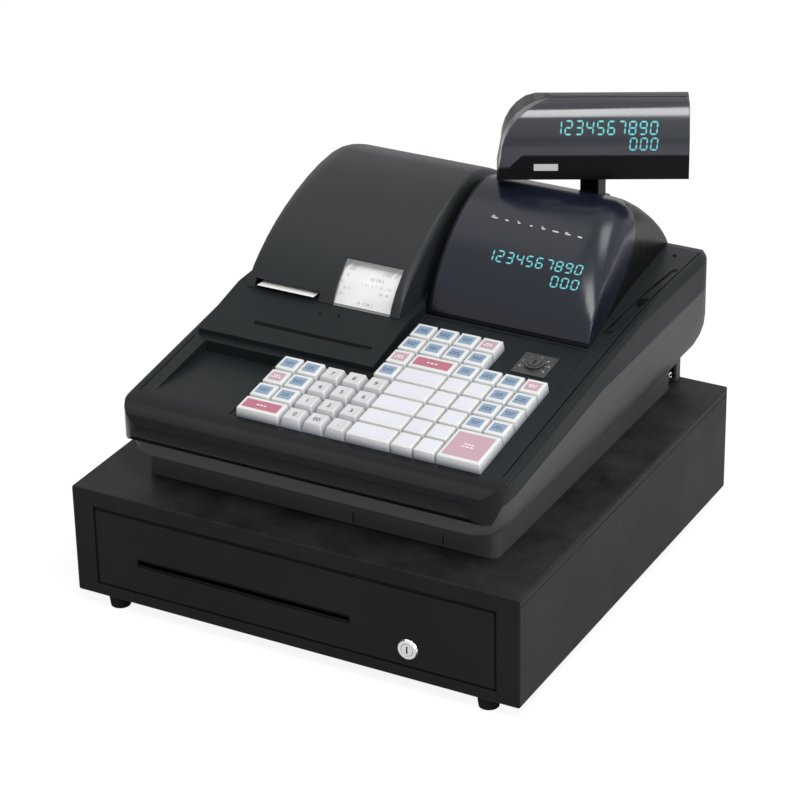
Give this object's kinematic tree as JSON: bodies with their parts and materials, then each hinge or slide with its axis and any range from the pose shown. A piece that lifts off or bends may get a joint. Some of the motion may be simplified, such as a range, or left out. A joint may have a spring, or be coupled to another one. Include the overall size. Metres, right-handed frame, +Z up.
{
  "type": "ticket register",
  "caption": "Electronic till with a receipt printer, two displays and a sloping keyboard on a sliding steel cash drawer.",
  "frame": {"origin": "on the counter, under the middle of the closed register's outline box", "axes": "+Z up, -Y towards the operator, +X to the operator's right"},
  "size_m": [0.41, 0.4522, 0.3672],
  "materials": {
    "painted_steel": "black powder coat, fine orange peel",
    "zinc_steel": "zinc plated sheet",
    "chrome": "polished chrome plate",
    "black_rubber": "moulded rubber",
    "tray_plastic": "black moulded plastic",
    "housing_plastic": "slate grey moulded plastic, fine grain, satin",
    "base_plastic": "dark grey moulded plastic, coarser grain",
    "smoked_lens": "smoked clear plastic, polished",
    "display_green": "display tube behind its filter",
    "key_white": "translucent white keycap",
    "key_red": "red keycap under a clear cap",
    "paper_white": "plain paper",
    "dark_metal": "dark passivated steel",
    "roller_rubber": "ground rubber roller"
  },
  "bodies": {
    "cabinet": {"drawer_case": "painted_steel", "foot_front_left": "black_rubber", "foot_rear_left": "black_rubber", "foot_front_right": "black_rubber", "foot_rear_right": "black_rubber", "case_rail_left": "zinc_steel", "case_rail_right": "zinc_steel", "release_solenoid": "dark_metal", "lower_case": "base_plastic", "upper_case": "housing_plastic", "printer_chassis": "dark_metal", "receipt_strip": "paper_white", "journal_strip": "paper_white", "display_hood": "housing_plastic", "display_module": "display_green", "display_lens": "smoked_lens", "key_bed": "tray_plastic", "mode_lock_barrel": "tray_plastic"},
    "drawer": {"drawer_front": "painted_steel", "drawer_pan": "zinc_steel", "till_tray": "tray_plastic", "drawer_lock_barrel": "chrome"},
    "drawer_lock": {"drawer_lock_plug": "chrome"},
    "clip_1": {"note_clip_1": "tray_plastic"},
    "clip_2": {"note_clip_2": "tray_plastic"},
    "clip_3": {"note_clip_3": "tray_plastic"},
    "clip_4": {"note_clip_4": "tray_plastic"},
    "plunger": {"solenoid_plunger": "zinc_steel"},
    "latch": {"latch_hook": "zinc_steel"},
    "cover": {"printer_cover": "housing_plastic", "journal_window": "smoked_lens"},
    "platen": {"platen_roller": "roller_rubber"},
    "receipt_supply": {"receipt_roll": "paper_white"},
    "journal_supply": {"journal_roll": "paper_white"},
    "journal_take_up": {"take_up_spool": "tray_plastic"},
    "display_post": {"customer_post": "housing_plastic"},
    "display_head": {"customer_shell": "housing_plastic", "customer_lens": "smoked_lens", "customer_module": "display_green"},
    "mode_plug": {"mode_lock_plug": "chrome"},
    "cap_7": {"key_7": "key_white"},
    "cap_8": {"key_8": "key_white"},
    "cap_9": {"key_9": "key_white"},
    "cap_4": {"key_4": "key_white"},
    "cap_5": {"key_5": "key_white"},
    "cap_6": {"key_6": "key_white"},
    "cap_1": {"key_1": "key_white"},
    "cap_2": {"key_2": "key_white"},
    "cap_3": {"key_3": "key_white"},
    "cap_0": {"key_0": "key_white"},
    "cap_00": {"key_00": "key_white"},
    "cap_point": {"key_point": "key_white"},
    "cap_wide_1": {"key_wide_1": "key_white"},
    "cap_wide_2": {"key_wide_2": "key_white"},
    "cap_wide_3": {"key_wide_3": "key_white"},
    "cap_wide_4": {"key_wide_4": "key_white"},
    "cap_wide_5": {"key_wide_5": "key_white"},
    "cap_red_rear": {"key_red_rear": "key_red"},
    "cap_red_front": {"key_red_front": "key_red"},
    "cap_total": {"key_total": "key_white"}
  },
  "joints": [
    {"name": "drawer_slide", "type": "slide", "parent": "cabinet", "child": "drawer", "axis": [0, -1, 0], "range_m": [0, 0.3]},
    {"name": "drawer_lock_turn", "type": "hinge", "parent": "drawer", "child": "drawer_lock", "pos_m": [0.1072, -0.2261, 0.04], "axis": [0, -1, 0], "range_deg": [0, 90]},
    {"name": "clip_1_lift", "type": "hinge", "parent": "drawer", "child": "clip_1", "pos_m": [-0.12532, 0.1182, 0.0887], "axis": [-1, 0, 0], "range_deg": [0, 14], "stiffness_Nm_per_rad": 0.05, "springref_deg": -17.19},
    {"name": "clip_2_lift", "type": "hinge", "parent": "drawer", "child": "clip_2", "pos_m": [-0.04177, 0.1182, 0.0887], "axis": [-1, 0, 0], "range_deg": [0, 14], "stiffness_Nm_per_rad": 0.05, "springref_deg": -17.19},
    {"name": "clip_3_lift", "type": "hinge", "parent": "drawer", "child": "clip_3", "pos_m": [0.04177, 0.1182, 0.0887], "axis": [-1, 0, 0], "range_deg": [0, 14], "stiffness_Nm_per_rad": 0.05, "springref_deg": -17.19},
    {"name": "clip_4_lift", "type": "hinge", "parent": "drawer", "child": "clip_4", "pos_m": [0.12532, 0.1182, 0.0887], "axis": [-1, 0, 0], "range_deg": [0, 14], "stiffness_Nm_per_rad": 0.05, "springref_deg": -17.19},
    {"name": "plunger_slide", "type": "slide", "parent": "cabinet", "child": "plunger", "axis": [0, 0, 1], "range_m": [-0.0008, 0]},
    {"name": "latch_swing", "type": "hinge", "parent": "cabinet", "child": "latch", "pos_m": [0.06, 0.1629, 0.056], "axis": [1, 0, 0], "range_deg": [0, 14]},
    {"name": "cover_hinge", "type": "hinge", "parent": "cabinet", "child": "cover", "pos_m": [0, 0.1986, 0.2285], "axis": [-1, 0, 0], "range_deg": [0, 75]},
    {"name": "platen_turn", "type": "hinge", "parent": "cabinet", "child": "platen", "pos_m": [0, 0.0091, 0.216], "axis": [1, 0, 0], "continuous": true},
    {"name": "receipt_roll_turn", "type": "hinge", "parent": "cabinet", "child": "receipt_supply", "pos_m": [-0.11425, 0.1461, 0.214], "axis": [1, 0, 0], "continuous": true},
    {"name": "journal_roll_turn", "type": "hinge", "parent": "cabinet", "child": "journal_supply", "pos_m": [-0.042, 0.1461, 0.214], "axis": [1, 0, 0], "continuous": true},
    {"name": "take_up_turn", "type": "hinge", "parent": "cabinet", "child": "journal_take_up", "pos_m": [-0.042, 0.0741, 0.236], "axis": [1, 0, 0], "continuous": true},
    {"name": "post_lift", "type": "slide", "parent": "cabinet", "child": "display_post", "axis": [0, 0, 1], "range_m": [0, 0.045]},
    {"name": "head_swivel", "type": "hinge", "parent": "display_post", "child": "display_head", "pos_m": [0.087, 0.1531, 0.302], "axis": [0, 0, 1], "range_deg": [-150, 150]},
    {"name": "mode_turn", "type": "hinge", "parent": "cabinet", "child": "mode_plug", "pos_m": [0.1215, -0.02785, 0.20473], "axis": [0, -0.1338, 0.991], "range_deg": [-40, 120]},
    {"name": "press_7", "type": "slide", "parent": "cabinet", "child": "cap_7", "axis": [0, 0.1338, -0.991], "range_m": [0, 0.0034], "stiffness_N_per_m": 150, "springref_m": -0.003},
    {"name": "press_8", "type": "slide", "parent": "cabinet", "child": "cap_8", "axis": [0, 0.1338, -0.991], "range_m": [0, 0.0034], "stiffness_N_per_m": 150, "springref_m": -0.003},
    {"name": "press_9", "type": "slide", "parent": "cabinet", "child": "cap_9", "axis": [0, 0.1338, -0.991], "range_m": [0, 0.0034], "stiffness_N_per_m": 150, "springref_m": -0.003},
    {"name": "press_4", "type": "slide", "parent": "cabinet", "child": "cap_4", "axis": [0, 0.1338, -0.991], "range_m": [0, 0.0034], "stiffness_N_per_m": 150, "springref_m": -0.003},
    {"name": "press_5", "type": "slide", "parent": "cabinet", "child": "cap_5", "axis": [0, 0.1338, -0.991], "range_m": [0, 0.0034], "stiffness_N_per_m": 150, "springref_m": -0.003},
    {"name": "press_6", "type": "slide", "parent": "cabinet", "child": "cap_6", "axis": [0, 0.1338, -0.991], "range_m": [0, 0.0034], "stiffness_N_per_m": 150, "springref_m": -0.003},
    {"name": "press_1", "type": "slide", "parent": "cabinet", "child": "cap_1", "axis": [0, 0.1338, -0.991], "range_m": [0, 0.0034], "stiffness_N_per_m": 150, "springref_m": -0.003},
    {"name": "press_2", "type": "slide", "parent": "cabinet", "child": "cap_2", "axis": [0, 0.1338, -0.991], "range_m": [0, 0.0034], "stiffness_N_per_m": 150, "springref_m": -0.003},
    {"name": "press_3", "type": "slide", "parent": "cabinet", "child": "cap_3", "axis": [0, 0.1338, -0.991], "range_m": [0, 0.0034], "stiffness_N_per_m": 150, "springref_m": -0.003},
    {"name": "press_0", "type": "slide", "parent": "cabinet", "child": "cap_0", "axis": [0, 0.1338, -0.991], "range_m": [0, 0.0034], "stiffness_N_per_m": 150, "springref_m": -0.003},
    {"name": "press_00", "type": "slide", "parent": "cabinet", "child": "cap_00", "axis": [0, 0.1338, -0.991], "range_m": [0, 0.0034], "stiffness_N_per_m": 150, "springref_m": -0.003},
    {"name": "press_point", "type": "slide", "parent": "cabinet", "child": "cap_point", "axis": [0, 0.1338, -0.991], "range_m": [0, 0.0034], "stiffness_N_per_m": 150, "springref_m": -0.003},
    {"name": "press_wide_1", "type": "slide", "parent": "cabinet", "child": "cap_wide_1", "axis": [0, 0.1338, -0.991], "range_m": [0, 0.0034], "stiffness_N_per_m": 150, "springref_m": -0.003},
    {"name": "press_wide_2", "type": "slide", "parent": "cabinet", "child": "cap_wide_2", "axis": [0, 0.1338, -0.991], "range_m": [0, 0.0034], "stiffness_N_per_m": 150, "springref_m": -0.003},
    {"name": "press_wide_3", "type": "slide", "parent": "cabinet", "child": "cap_wide_3", "axis": [0, 0.1338, -0.991], "range_m": [0, 0.0034], "stiffness_N_per_m": 150, "springref_m": -0.003},
    {"name": "press_wide_4", "type": "slide", "parent": "cabinet", "child": "cap_wide_4", "axis": [0, 0.1338, -0.991], "range_m": [0, 0.0034], "stiffness_N_per_m": 150, "springref_m": -0.003},
    {"name": "press_wide_5", "type": "slide", "parent": "cabinet", "child": "cap_wide_5", "axis": [0, 0.1338, -0.991], "range_m": [0, 0.0034], "stiffness_N_per_m": 150, "springref_m": -0.003},
    {"name": "press_red_rear", "type": "slide", "parent": "cabinet", "child": "cap_red_rear", "axis": [0, 0.1338, -0.991], "range_m": [0, 0.0034], "stiffness_N_per_m": 150, "springref_m": -0.003},
    {"name": "press_red_front", "type": "slide", "parent": "cabinet", "child": "cap_red_front", "axis": [0, 0.1338, -0.991], "range_m": [0, 0.0034], "stiffness_N_per_m": 150, "springref_m": -0.003},
    {"name": "press_total", "type": "slide", "parent": "cabinet", "child": "cap_total", "axis": [0, 0.1338, -0.991], "range_m": [0, 0.0034], "stiffness_N_per_m": 250, "springref_m": -0.003}
  ],
  "couplings": [
    {"joint": "latch_swing", "follows": "plunger_slide", "rad_per_m": -300}
  ]
}
